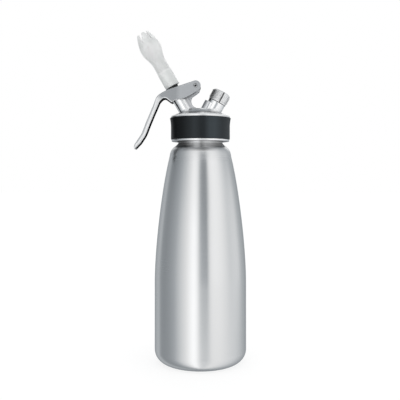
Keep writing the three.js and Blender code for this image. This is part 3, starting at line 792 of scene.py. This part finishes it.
def head_bores():
    """Ways of cream and gas through the head: two in the spout and two in the inlet."""
    return [
        rod("bore", 4.7, -42, -28, SPOUT), rod("bore", 6, -30.2, -8, SPOUT),
        rod("socket", 6.8, -14, 4, INLET), rod("gas", 4.6, -30, -12, INLET, 48),
    ]


def make_head_shell():
    profile = [
        (SKIRT_BORE_R, SKIRT_Z), (30.6, SKIRT_Z), (30.6, LIP_Z), (28.9, LIP_Z),
        (28.9, BAND_TOP_Z), (31.5, BAND_TOP_Z), (31.45, 259.1), (31, 260), (30.1, 260.8),
        (28.4, 261.5), (25.4, 262.3), (22.1, 263), (18.9, 266), (17.9, 266.75), (16.7, 267.15),
        (15.3, PLATEAU_Z), (0, PLATEAU_Z),
    ]
    cavity = [(0, CEILING_Z), (21, CEILING_Z), (21, 253.7), (SKIRT_BORE_R, 253.7),
              (SKIRT_BORE_R, SKIRT_Z)]
    whole = [*soften(profile, 0.7, steps=4), *soften(cavity, 0.5)]
    whole = dense(whole, 233.5, 252.5, SKIRT_ROW)
    whole[-1] = whole[0]
    wind = thread(NECK_THREAD, 236.75, -NECK_THREAD_DEPTH, (235, 250), (25.29, 25.31))
    obj = lathe("head_dome", whole, 144, wind, 30)
    boolean(obj, head_bores(), "DIFFERENCE")
    place(obj, UPRIGHT, "head", "head_steel", dome_steel, "head_casting")


def horn_point(across, up):
    """Point (x, z) of the horn, in shares of the pivot's height over the raised centre."""
    height = PIVOT[1] - PLATEAU_Z
    return (PIVOT[0] + across * height, PIVOT[1] + up * height)


def horn_outline():
    bite = arc(BITE_CENTRE, BITE_R, 149, 232, 24)
    tilt = math.radians(SPOUT_TILT)
    toe_end = horn_point(0.255, -1)
    return [
        horn_point(0.202, -0.123), horn_point(0.169, -0.239), horn_point(0.004, -0.366),
        *[horn_point(*p) for p in bite], horn_point(0.111, -0.963),
        toe_end, (toe_end[0], PLATEAU_Z - 2.5),
        spout_point(0, -30.5), spout_point(0, SPOUT_TOP), spout_point(SPOUT_R, SPOUT_TOP),
        (PIVOT[0] - 3.5 * math.sin(tilt), PIVOT[1] + 3.5 * math.cos(tilt)), PIVOT,
    ]


def horn_fillet():
    """Hollow between the spout's round and the horn's flat sides."""
    side = bezier((5.2, 6.08), (6.6, 4.95), (7.6, 4.5), (10.2, 4.45), 8)
    outline = [(0, 6), *side, *[(x, -y) for x, y in reversed(side)], (0, -6)]
    obj = plate("fillet", outline, 17.4)
    obj.data.transform(SPOUT @ shift(0, -21.3) @ SIDEWAYS)
    bite_r = BITE_R * (PIVOT[1] - PLATEAU_Z)
    return boolean(obj, [cross_bar("bite", bite_r, 20, horn_point(*BITE_CENTRE), 96)], "DIFFERENCE")


def make_head_casting():
    obj = plate("head_horn", horn_outline(), HORN_WIDTH)
    beside_neck = INLET @ Matrix.Translation((-6.8 * MM, -4.2 * MM, 0))
    mound = [(0, 264.4), (20.2, 264.4), (18.6, 265.9), (17.7, 266.55), (16.6, 266.9), (0, 267.1)]
    boolean(obj, [
        cross_bar("boss", 5, 16, PIVOT), rod("spout", SPOUT_R, -38.4, SPOUT_TOP, SPOUT),
        horn_fillet(), rod("neck", 9.2, -29.9, -6.5, INLET),
        rod("lug", 5.3, -29, -10.2, beside_neck), lathe("mound", mound),
    ], "UNION")
    boolean(obj, [
        rod("cavity", 20.8, 240, 261.9, sides=96), *head_bores(),
        cross_bar("pin_hole", PIN_HOLE_R, 20, PIVOT),
    ], "DIFFERENCE")
    cast(obj, 0.4, 9)
    place(obj, UPRIGHT, "head", "head_steel", head_steel)


def make_grip():
    flare = bezier((31.3, 248.9), (31.35, 252.1), (31.7, 254.7), (32.3, 257.6), 12)
    start = (29.2, LIP_Z)
    profile = [start, (31.0, LIP_Z), (31.25, 235.7), (31.3, 236.1), *flare, (32.2, 257.85),
               (31.9, BAND_TOP_Z), (start[0], BAND_TOP_Z), start]
    obj = lathe("grip_band", profile, 144, None, 50)
    place(obj, UPRIGHT, "head", "grip_silicone", grip_silicone, "grip_sleeve")


# ---- lever: the lines of back and cheek are in shares of its reach from the pivot
REACH = 64.7
BACK = [
    (-0.453, -0.061), (-0.56, -0.121), (-0.632, -0.182), (-0.679, -0.293), (-0.745, -0.444),
    (-0.813, -0.609), (-0.876, -0.768), (-0.923, -0.842), (-0.955, -0.893), (-0.988, -0.943),
    (-0.999, -0.989), (-0.996, -1.019), (-0.986, -1.031),
]
CHEEK = [
    (-0.585, -0.263), (-0.533, -0.21), (-0.486, -0.204), (-0.441, -0.235), (-0.384, -0.27),
    (-0.34, -0.243), (-0.284, -0.227), (-0.19, -0.205), (-0.138, -0.184), (-0.054, -0.139),
]
LEVER_WIDTH, CHANNEL_WIDTH, SHEET, HANDLE_DEPTH = 20, 17, 1.5, 4.8
END_R, ARM_SLOPE, CHEEK_SLOPE = 5.5, 19, 31
CHANNEL_END = 8
EDGE_R = 0.35


def pressed(name, outline, radii, width, steps=6, sharpest=0.6):
    """Plate whose edges are rounded, each corner of the outline by its own radius."""
    count = len(outline)
    inward = []
    for i, here in enumerate(outline):
        back = (Vector(here) - Vector(outline[i - 1])).normalized()
        ahead = (Vector(outline[(i + 1) % count]) - Vector(here)).normalized()
        along = (back + ahead).normalized()
        inward.append(Vector((-along.y, along.x)) / max(along.dot(back), sharpest))
    turns = [math.pi / 2 * k / steps for k in range(steps + 1)]
    layers = [(-1, t) for t in turns] + [(1, t) for t in reversed(turns)]
    verts = []
    for side, t in layers:
        for here, radius, normal in zip(outline, radii, inward):
            point = Vector(here) + normal * radius * (1 - math.sin(t))
            verts.append((point.x, side * (width / 2 - radius * (1 - math.cos(t))), point.y))
    return mesh_from(name, verts, lids(count, len(verts)) + bands(len(layers), count), 40)


def clamped(value):
    return min(1.0, max(0.0, value))


def back_radius(z):
    """Rounding of the lever's back: wide along the handle, less at the arm and the tip."""
    arm, tip = clamped((280 - z) / 14), clamped((z - 225) / 8)
    return (1.5 + 1.9 * arm) * tip + 0.4 * (1 - tip)


def lip_radius(share):
    """Rounding of the cheek's lower edge: a rolled lip at the hook, less towards the pivot."""
    return 1.3 - 0.8 * clamped((share + 0.42) / 0.2)


def mark_lever(mesh):
    """Marks the channel's inside, which gets painted shade, and the rolled lip of the hook, which
    gets a painted highlight.
    """
    cheek_y = 8.6 * MM
    mark(mesh, "inner", lambda centre, normal: (
        abs(centre.y) < cheek_y and (abs(normal.y) > 0.9 or normal.x > 0.15)))
    mark(mesh, "edge", lambda centre, normal: (
        abs(centre.y) > cheek_y and abs(normal.y) < 0.97
        and -44 * MM < centre.x < -24 * MM and normal.z < -0.2))


def lever_point(across, up):
    return (PIVOT[0] + across * REACH, PIVOT[1] + up * REACH)


def lever_pocket(back):
    """Outline of the channel between the cheeks, open below, under the sheet of the back."""
    slope = math.radians(ARM_SLOPE)
    inside = [q for p, q in zip(back, offset_line(back, SHEET)) if p[1] > lever_point(0, -1.005)[1]]
    level = END_R - SHEET
    foot = (PIVOT[0] - CHANNEL_END * math.cos(slope) - level * math.sin(slope),
            PIVOT[1] - CHANNEL_END * math.sin(slope) + level * math.cos(slope))
    high, far = PIVOT[1] + 7.5, PIVOT[0] + REACH
    web_top = (foot[0] - (high - foot[1]) * math.tan(slope), high)
    tip_x, tip_z = inside[-1]
    low = tip_z - HANDLE_DEPTH
    return [web_top, foot, *inside[1:], (tip_x, low), (far, low), (far, high)]


def make_lever():
    slope = math.radians(ARM_SLOPE)
    top = (PIVOT[0] - END_R * math.sin(slope), PIVOT[1] + END_R * math.cos(slope))
    back = [top, *spline([lever_point(*share) for share in BACK], 4)]
    left, low = lever_point(-0.68, -0.9)
    handle = [p for p in back if p[0] < left and p[1] > low]
    under = spline([lever_point(*share) for share in CHEEK], 3)
    end = arc(PIVOT, END_R, CHEEK_SLOPE - 90, ARM_SLOPE + 90, 20)[:-1]
    outline = [*back, *reversed(offset_line(handle, HANDLE_DEPTH)), *under, *end]
    radii = [back_radius(z) for _, z in back] + [EDGE_R] * len(handle)
    radii += [lip_radius((x - PIVOT[0]) / REACH) for x, _ in under] + [EDGE_R] * len(end)
    obj = pressed("lever_arm_body", outline, radii, LEVER_WIDTH)
    boolean(obj, [
        plate("pocket", lever_pocket(back), CHANNEL_WIDTH),
        rod("hole", 6.35, SPOUT_TOP, 2, SPOUT @ shift(0.4, 0)),
        cross_bar("pin_hole", PIN_HOLE_R, 24, PIVOT),
    ], "DIFFERENCE")
    mark_lever(obj.data)
    flatten(obj)
    place(obj, UPRIGHT, "lever_arm", "lever_steel", lever_steel, "lever")


def make_lever_pin():
    end = [(0, 8.2), (0.95, 8.2), (1.05, 9.0), (1.7, 9.6), (1.9, 9.5)]
    obj = lathe("lever_pin_bar", [(r, -y) for r, y in end] + end[::-1], 48)
    place(obj, PIN, "head", "turned_steel", pin_steel, "lever_pin")


# ---- turned pieces, each along the axis of the spout or of the inlet
def turned(name, profile, matrix, body, slot, material, node, sides=64, radius=0.2, displace=None,
           rows=None):
    """Turned piece with soft corners. rows (low, high, step) makes it dense for a thread."""
    line = soften(profile, radius, profile[0] == profile[-1])
    if rows:
        line = dense(line, *rows)
    obj = lathe(name, line, sides, displace)
    place(obj, matrix, body, slot, material, node)


def make_valve():
    turned("valve_guide_plug", [
        (3.8, -18), (5.7, -18), (5.7, -12.1), (7.4, -12.1), (7.4, -10.9), (3.8, -10.9), (3.8, -18),
    ], SPOUT, "head", "turned_brass", brass, "valve_guide")
    stem = [
        (0, -44.9), (3.5, -44.9), (3.5, -33), (2.8, -33), (2.8, -31), (3.5, -31), (3.5, -20.3),
        (5.5, -20.3), (5.5, -18.8), (3.5, -18.8), (3.5, -3.6), (1.9, -3.6), (1.9, -37.5),
        (0, -37.5),
    ]
    obj = lathe("valve_stem_rod", soften(stem, 0.2), 64)
    boolean(obj, [cross_bar("port", 1.1, 11, (0, -35.6), 32)], "DIFFERENCE")
    place(obj, SPOUT, "valve", "turned_steel", turned_steel, "valve_stem")
    turned("valve_seal_disc", [
        (3.8, -41.3), (6.2, -41.3), (6.2, -38.8), (3.8, -38.8), (3.8, -41.3),
    ], SPOUT, "valve", "seal_rubber", seal_rubber, "valve_seal")
    ring = arc((3.75, -32), 0.65, 0, 360, 16)
    ring[-1] = ring[0]
    obj = lathe("stem_o_ring_loop", ring, 64)
    place(obj, SPOUT, "valve", "seal_rubber", seal_rubber, "stem_o_ring")
    wind = thread(ADAPTER_THREAD, 2, 0.5, (1, 7.5), (3.9, 4.1))
    turned("nozzle_adapter_body", [
        (3.8, -7.8), (7.4, -7.8), (7.4, -6), (5.2, -6), (5.2, -2.3), (4, -2.3), (4, 9.5),
        (2.2, 9.5), (2.2, -3.3), (3.8, -3.3), (3.8, -7.8),
    ], SPOUT, "valve", "turned_steel", adapter_steel, "nozzle_adapter", 72, 0.25, wind,
        (0.5, 8, 0.12))
    turned("nozzle_seal_loop", [(4.8, -2), (5.6, -2), (5.6, -0.3), (4.8, -0.3), (4.8, -2)],
           SPOUT, "nozzle_seal", "seal_rubber", seal_rubber, "nozzle_seal_ring", 64, 0.25)


def make_spring():
    """Coil of the valve spring, with its own mesh; the real spring shortens as the stem goes down.
    """
    coil_r, wire_r, turns, low, high = 4.75, 0.45, 6, -29.45, -21.05
    steps, sides = 24 * turns, 10
    rise = (high - low) / (2 * math.pi * turns)
    verts = []
    for i in range(steps + 1):
        angle = 2 * math.pi * turns * i / steps
        out = Vector((math.cos(angle), math.sin(angle), 0))
        along = Vector((-coil_r * math.sin(angle), coil_r * math.cos(angle), rise)).normalized()
        up = out.cross(along)
        centre = out * coil_r + Vector((0, 0, low + rise * angle))
        for k in range(sides):
            turn = 2 * math.pi * k / sides
            side, height = out * wire_r * math.cos(turn), up * wire_r * math.sin(turn)
            verts.append(tuple(centre + side + height))
    faces = lids(sides, len(verts)) + bands(steps + 1, sides)
    obj = mesh_from("valve_spring_coil", verts, faces, 60)
    place(obj, SPOUT, "head", "turned_steel", turned_steel, "valve_spring")
    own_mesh(obj)


# Outline of the nozzle, in shares of its length and of its radius
NOZZLE = [
    (0, 0.714), (0.23, 0.714), (0.3, 0.678), (0.38, 0.661), (0.45, 0.667), (0.51, 0.728),
    (0.57, 0.82), (0.63, 0.938), (0.69, 0.995), (0.74, 1), (0.79, 0.965), (0.84, 0.91),
    (0.89, 0.83), (0.94, 0.74), (1, 0.61),
]
SOCKET_R, SOCKET_DEPTH, NOZZLE_WALL = 4.8, 18, 1.4
PRONGS, SLOT_TURN = 6, 35
SLOT = [(-0.7, 53.9), (0.7, 53.9), (1.6, 62.5), (2.3, 66.5), (-2.3, 66.5), (-1.6, 62.5)]


def make_nozzle():
    outer = spline([(out * NOZZLE_R, along * NOZZLE_LENGTH) for along, out in NOZZLE], 4)
    inner = [p for p in offset_line(outer, NOZZLE_WALL) if p[1] > SOCKET_DEPTH]
    inner[-1] = (inner[-1][0], NOZZLE_LENGTH)
    profile = [(SOCKET_R, 0), *outer, *reversed(inner), (inner[0][0], SOCKET_DEPTH),
               (SOCKET_R, SOCKET_DEPTH), (SOCKET_R, 0)]
    obj = lathe("nozzle_body", profile)
    slots = []
    for i in range(PRONGS // 2):
        cutter = plate("slot", SLOT, 30)
        angle = math.radians(SLOT_TURN + 360 // PRONGS * i)
        cutter.data.transform(Matrix.Rotation(angle, 4, "Z"))
        slots.append(cutter)
    boolean(obj, slots, "DIFFERENCE")
    bevel_edges(obj, 0.35, 3, 45)
    # Faces inside the nozzle, which get painted light
    mark(obj.data, "inner", lambda centre, normal: (
        centre.z > 20 * MM and normal.dot(Vector((centre.x, centre.y, 0)).normalized()) < 0.3))
    place(obj, SPOUT, "tip", "nozzle_plastic", nozzle_plastic, "nozzle")


# Vent groove along the stud's thread: place and half width in turns, and its floor's radius
GROOVE_TURN, GROOVE_HALF, GROOVE_R = 0.7865, 0.008, 9.2


def make_inlet():
    core_r = 9.4
    wind = thread(STUD_THREAD, -4.7, 0.8, (-6, 4.55), (core_r, 10))

    def grooved(turn, r, z):
        if r > core_r and abs(turn - GROOVE_TURN) < GROOVE_HALF:
            return GROOVE_R
        return wind(turn, r, z)

    turned("inlet_stud_body", [
        (5, -13.4), (6.5, -13.4), (6.5, -6.2), (9.9, -6.2), (9.5, -5.4), (9.5, 4.6), (8.3, 5.8),
        (4.8, 5.8), (4.8, -2.6), (1.5, -2.6), (1.5, -4.2), (5, -4.2), (5, -13.4),
    ], INLET, "head", "turned_steel", thread_steel, "inlet_stud", 96, 0.3, grooved,
        (-5.4, 4.6, 0.12))
    turned("charger_gasket_ring", [(2, -2.3), (4.5, -2.3), (4.5, -0.7), (2, -0.7), (2, -2.3)],
           INLET, "head", "seal_rubber", seal_rubber, "charger_gasket")
    turned("piercing_pin_needle", [
        (0.5, -5.7), (4.7, -5.7), (4.7, -4.5), (1.2, -4.5), (1.2, 0.4), (0.85, 2.4), (0.5, 1.4),
        (0.5, -5.7),
    ], INLET, "head", "turned_steel", needle_steel, "piercing_pin", 48, 0.1)


make_bottle()
make_head_shell()
make_head_casting()
make_grip()
make_lever()
make_lever_pin()
make_valve()
make_spring()
make_nozzle()
make_inlet()

# ---- CAD nodes that stay, with a material each and joined corners
KEPT = {
    "head_gasket": seal_rubber, "seal_nut": turned_steel, "gas_filter": filter_brass,
    "pin_retainer": filter_brass, "check_valve_sleeve": seal_rubber,
}
for name, material in KEPT.items():
    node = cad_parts[name]
    node.data.materials.clear()
    node.data.materials.append(material)
    weld = node.modifiers.new("weld", "WELD")
    weld.merge_threshold = TINY


# ---- stage
# The floor has one colour for the light that falls on it, and another one in the picture, with a
# glow that makes it white there
FLOOR_HALF, FLOOR_Z = 6, -0.0001
FLOOR_LIT, FLOOR_SEEN, FLOOR_GLOW = (0.86, 0.86, 0.86), (0.3, 0.3, 0.3), 0.76


def make_floor():
    corners = [(-1, -1), (1, -1), (1, 1), (-1, 1)]
    mesh = bpy.data.meshes.new("floor")
    mesh.from_pydata([(x * FLOOR_HALF, y * FLOOR_HALF, 0) for x, y in corners], [], [(0, 1, 2, 3)])
    floor = make_object("floor", mesh)
    floor.location.z = FLOOR_Z
    material = bpy.data.materials.new("floor_paper")
    material.use_nodes = True
    g = Nodes(material.node_tree)
    g.tree.nodes.clear()
    seen = g.node("ShaderNodeLightPath").outputs["Is Camera Ray"]
    diffuse = g.node("ShaderNodeBsdfDiffuse")
    g.link(g.mixed(seen, FLOOR_LIT, FLOOR_SEEN), diffuse.inputs["Color"])
    glow = g.node("ShaderNodeEmission")
    g.link(g.maths("MULTIPLY", seen, FLOOR_GLOW), glow.inputs["Strength"])
    added = g.node("ShaderNodeAddShader")
    g.link(diffuse.outputs[0], added.inputs[0])
    g.link(glow.outputs[0], added.inputs[1])
    g.link(added.outputs[0], g.node("ShaderNodeOutputMaterial").inputs["Surface"])
    mesh.materials.append(material)
    floor.visible_glossy = False


# Light levels of the studio by direction in degrees, 0 towards the camera: round the object near
# the table, at eye level, higher up, and nearly overhead
TABLE_RING = [
    (-180, 0.36), (-160, 0.38), (-140, 0.5), (-128, 0.58), (-116, 0.36), (-100, 0.35), (-85, 0.38),
    (-68, 0.48), (-50, 0.78), (-35, 1.0), (-24, 1.25), (-15, 1.4), (-6, 1.15), (0, 0.9), (8, 0.82),
    (18, 0.82), (30, 1.0), (50, 1.0), (66, 0.93), (95, 0.8), (125, 0.57), (150, 0.4), (180, 0.36),
]
LEVEL_RING = [
    (-180, 0.36), (-160, 0.38), (-140, 0.5), (-128, 0.58), (-116, 0.36), (-100, 0.33), (-85, 0.38),
    (-68, 0.48), (-50, 0.78), (-35, 1.0), (-24, 1.25), (-15, 1.4), (-6, 1.1), (-2, 0.62), (4, 0.47),
    (11, 0.47), (14, 0.38), (18, 0.42), (21, 0.95), (28, 1.1), (40, 1.12), (55, 1.05), (66, 0.95),
    (80, 0.8), (95, 0.86), (108, 0.86), (125, 0.57), (150, 0.4), (180, 0.36),
]
SLOPE_RING = [
    (-180, 1.38), (-155, 1.3), (-145, 0.4), (-130, 0.36), (-118, 0.28), (-100, 0.28), (-85, 0.36),
    (-68, 0.48), (-50, 0.68), (-35, 0.95), (-24, 1.15), (-15, 1.15), (-6, 0.9), (-2, 0.5),
    (4, 0.32), (15, 0.28), (21, 0.32), (26, 0.9), (32, 1.08), (45, 1.15), (60, 1.1), (80, 0.85),
    (95, 0.64), (108, 0.6), (125, 0.5), (140, 0.42), (155, 1.3), (180, 1.38),
]
TOP_RING = [
    (-180, 1.38), (-155, 1.2), (-143, 0.45), (-130, 0.32), (-110, 0.36), (-80, 0.4), (-50, 0.9),
    (-30, 1.1), (40, 1.1), (80, 0.8), (105, 0.4), (130, 0.3), (143, 0.6), (155, 1.2), (180, 1.38),
]
ZENITH_LEVEL = 0.36
# Each ring gives way to the next one between two heights, as the Z of a direction of length 1
RINGS = [(LEVEL_RING, -0.3, -0.08), (SLOPE_RING, 0.1, 0.32), (TOP_RING, 0.5, 0.7)]
ZENITH_START, ZENITH_END = 0.78, 0.93
# Share of plain white in the light that falls on dull surfaces
WHITE_SHARE = 0.75


def make_world():
    """Studio that the steel mirrors. It is white in the picture and through clear pieces."""
    world = bpy.data.worlds.new("studio")
    bpy.context.scene.world = world
    world.use_nodes = True
    g = Nodes(world.node_tree)
    g.tree.nodes.clear()
    parts = g.node("ShaderNodeSeparateXYZ")
    g.link(g.node("ShaderNodeTexCoord").outputs["Generated"], parts.inputs[0])
    x, y, z = parts.outputs
    azimuth = g.maths("ARCTAN2", x, g.maths("MULTIPLY", y, -1))
    share = g.span(azimuth, 0.0, 1.0, -math.pi, math.pi)
    peak = max(level for ring in (TABLE_RING, *(r[0] for r in RINGS)) for _, level in ring)

    def cooled(level):
        """Level as a share of the peak, bluish where it is dark."""
        cool = max(0, 1 - level)
        return level * (1 - 0.1 * cool) / peak, level / peak, level * (1 + 0.08 * cool) / peak

    def around(ring):
        return g.ramp(share, [((angle + 180) / 360, cooled(level)) for angle, level in ring])

    def above(start, end):
        return g.span(z, 0.0, 1.0, start, end, "SMOOTHSTEP")

    def shader(kind, first, second, third):
        """Joins a shader's three inputs and gives its output."""
        made = g.node(kind)
        for target, source in zip(made.inputs, (first, second, third)):
            g.link(source, target)
        return made.outputs[0]

    colour = around(TABLE_RING)
    for ring, start, end in RINGS:
        colour = g.mixed(above(start, end), colour, around(ring))
    studio = g.node("ShaderNodeBackground")
    studio.inputs["Strength"].default_value = peak
    colour = g.mixed(above(ZENITH_START, ZENITH_END), colour, cooled(ZENITH_LEVEL))
    g.link(colour, studio.inputs["Color"])
    white = g.node("ShaderNodeBackground")
    g.feed(white.inputs["Color"], WHITE)
    path = g.node("ShaderNodeLightPath").outputs
    seen = g.maths("MAXIMUM", path["Is Camera Ray"], path["Is Transmission Ray"])
    evened = g.maths("MULTIPLY", path["Is Diffuse Ray"], WHITE_SHARE)
    even = shader("ShaderNodeMixShader", evened, studio.outputs[0], white.outputs[0])
    shown = shader("ShaderNodeMixShader", seen, even, white.outputs[0])
    g.link(shown, g.node("ShaderNodeOutputWorld").inputs["Surface"])


CAMERA_DISTANCE, CAMERA_HEIGHT, LENS = 0.66, 0.1977, 55.8


def make_camera():
    data = bpy.data.cameras.new("camera")
    data.sensor_width = 36
    data.lens = LENS
    data.shift_x, data.shift_y = -0.001, -0.0625
    data.clip_start, data.clip_end = 0.05, 50
    camera = make_object("camera", data)
    camera.location = (0, -CAMERA_DISTANCE, CAMERA_HEIGHT)
    camera.rotation_euler = (math.pi / 2, 0, 0)
    bpy.context.scene.camera = camera


make_floor()
make_world()
make_camera()
bpy.context.scene.view_settings.view_transform = "Standard"
